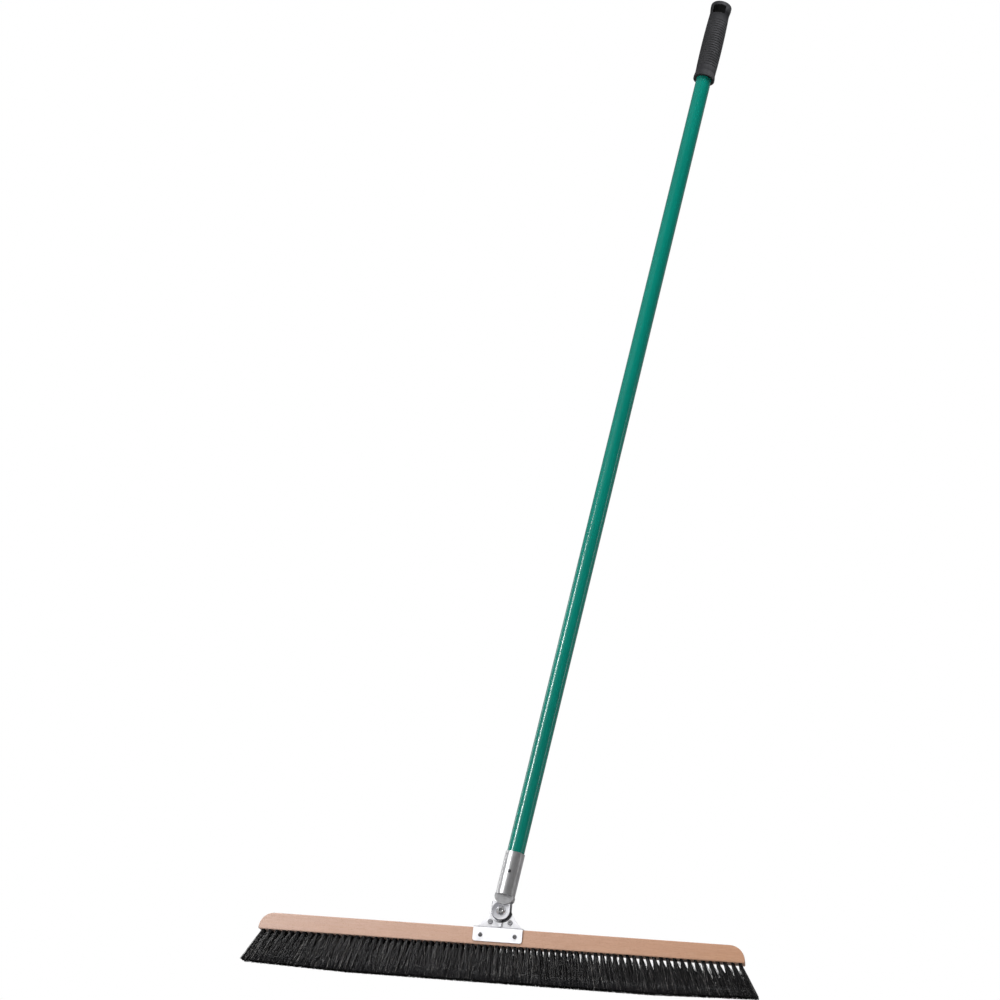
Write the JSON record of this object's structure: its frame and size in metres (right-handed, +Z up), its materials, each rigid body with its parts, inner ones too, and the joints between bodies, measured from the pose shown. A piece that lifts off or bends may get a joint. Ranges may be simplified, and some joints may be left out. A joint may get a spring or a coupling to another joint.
{
  "type": "push broom",
  "caption": "Push broom: long wooden block with fanned bristles, a riveted sheet bracket and a steel handle that tilts sideways on a clamped bolt.",
  "frame": {"origin": "middle of the bristle face, on the floor", "axes": "+X along the block towards the side that the handle leans to, -Y the side that the bolt's head is on, +Z up"},
  "size_m": [0.6408, 0.0316, 1.4539],
  "materials": {
    "block_wood": "clear lacquered hardwood, fine straight grain",
    "bristle_fibre": "fine black synthetic fibre, slight sheen",
    "anchor_wire": "plain flat wire",
    "zinc_plated_sheet": "bright zinc plating",
    "zinc_fastener": "bright zinc plating",
    "bolt_steel": "polished and plated",
    "fibre_washer": "pressed red fibre",
    "cast_zinc": "satin casting",
    "sleeve_steel": "satin, brushed lengthwise",
    "green_powder_coat": "semi-gloss powder coat",
    "grip_rubber": "moulded, satin"
  },
  "bodies": {
    "broom_head": {"wood_block": "block_wood", "front_tufts": "bristle_fibre", "middle_tufts": "bristle_fibre", "rear_tufts": "bristle_fibre", "tuft_anchors": "anchor_wire", "bracket_front": "zinc_plated_sheet", "bracket_back": "zinc_plated_sheet", "neck_rivets": "zinc_fastener", "front_screws": "zinc_fastener", "back_screws": "zinc_fastener", "pivot_bolt": "bolt_steel", "pivot_bush": "bolt_steel", "friction_washers": "fibre_washer", "pivot_washer": "bolt_steel", "spring_washer": "bolt_steel", "pivot_nut": "bolt_steel"},
    "handle": {"socket_foot": "cast_zinc", "ferrule_sleeve": "sleeve_steel", "handle_tube": "green_powder_coat", "cross_rivet": "sleeve_steel", "handle_grip": "grip_rubber"}
  },
  "joints": [
    {"name": "handle_tilt", "type": "hinge", "parent": "broom_head", "child": "handle", "pos_m": [0, 0, 0.0877], "axis": [0, 1, 0], "range_deg": [-28.4, 11.6]}
  ]
}
